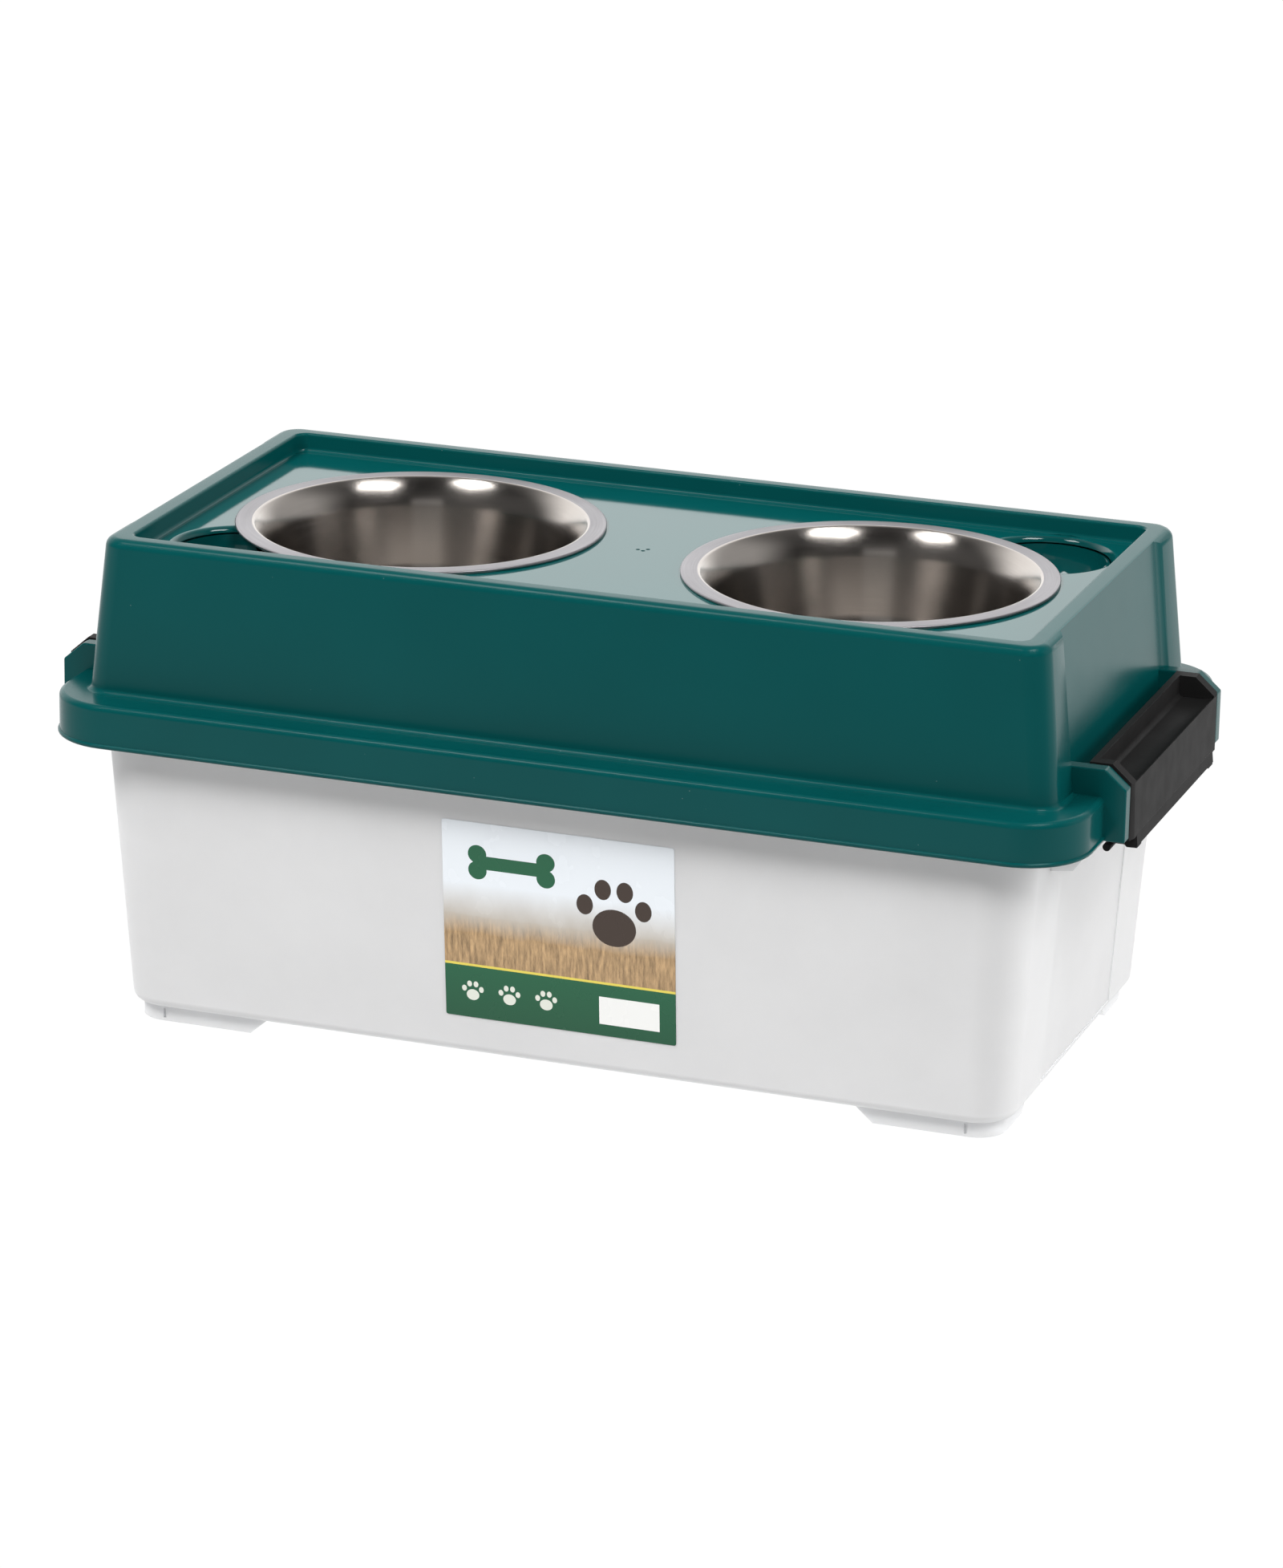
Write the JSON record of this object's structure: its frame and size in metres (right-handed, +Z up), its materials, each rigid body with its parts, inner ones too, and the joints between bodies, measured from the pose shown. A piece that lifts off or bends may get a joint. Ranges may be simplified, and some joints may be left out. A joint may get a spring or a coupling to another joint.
{
  "type": "elevated dog feeder with storage",
  "caption": "Elevated dog feeder: a translucent food container with a gasketed lid that carries two lift-out steel bowls in a raised tray, locked by a swinging latch at each end.",
  "frame": {"origin": "on the ground, under the middle of the feeder", "axes": "+X along the length towards the right latch, -Y is the label side, +Z is up"},
  "size_m": [0.553, 0.2842, 0.248],
  "materials": {
    "translucent_plastic": "frosted translucent polypropylene, soft gloss",
    "green_plastic": "injection moulded, satin walls and a glossy tray",
    "black_plastic": "satin moulded",
    "bowl_steel": "spun stainless, satin inside, polished rim",
    "seal_rubber": "soft foam seal",
    "printed_label": null
  },
  "bodies": {
    "container": {"container": "translucent_plastic", "front_label": "printed_label"},
    "lid": {"lid": "green_plastic", "gasket": "seal_rubber"},
    "left_bowl": {"left_bowl": "bowl_steel"},
    "right_bowl": {"right_bowl": "bowl_steel"},
    "left_latch": {"left_latch": "black_plastic"},
    "right_latch": {"right_latch": "black_plastic"}
  },
  "joints": [
    {"name": "lid_lift", "type": "slide", "parent": "container", "child": "lid", "axis": [0, 0, 1], "range_m": [0, 0.12]},
    {"name": "left_bowl_lift", "type": "slide", "parent": "lid", "child": "left_bowl", "axis": [0, 0, 1], "range_m": [0, 0.1]},
    {"name": "right_bowl_lift", "type": "slide", "parent": "lid", "child": "right_bowl", "axis": [0, 0, 1], "range_m": [0, 0.1]},
    {"name": "left_latch_swing", "type": "hinge", "parent": "lid", "child": "left_latch", "pos_m": [-0.2582, 0, 0.1795], "axis": [0, 1, 0], "range_deg": [0, 110]},
    {"name": "right_latch_swing", "type": "hinge", "parent": "lid", "child": "right_latch", "pos_m": [0.2582, 0, 0.1795], "axis": [0, -1, 0], "range_deg": [0, 110]}
  ]
}
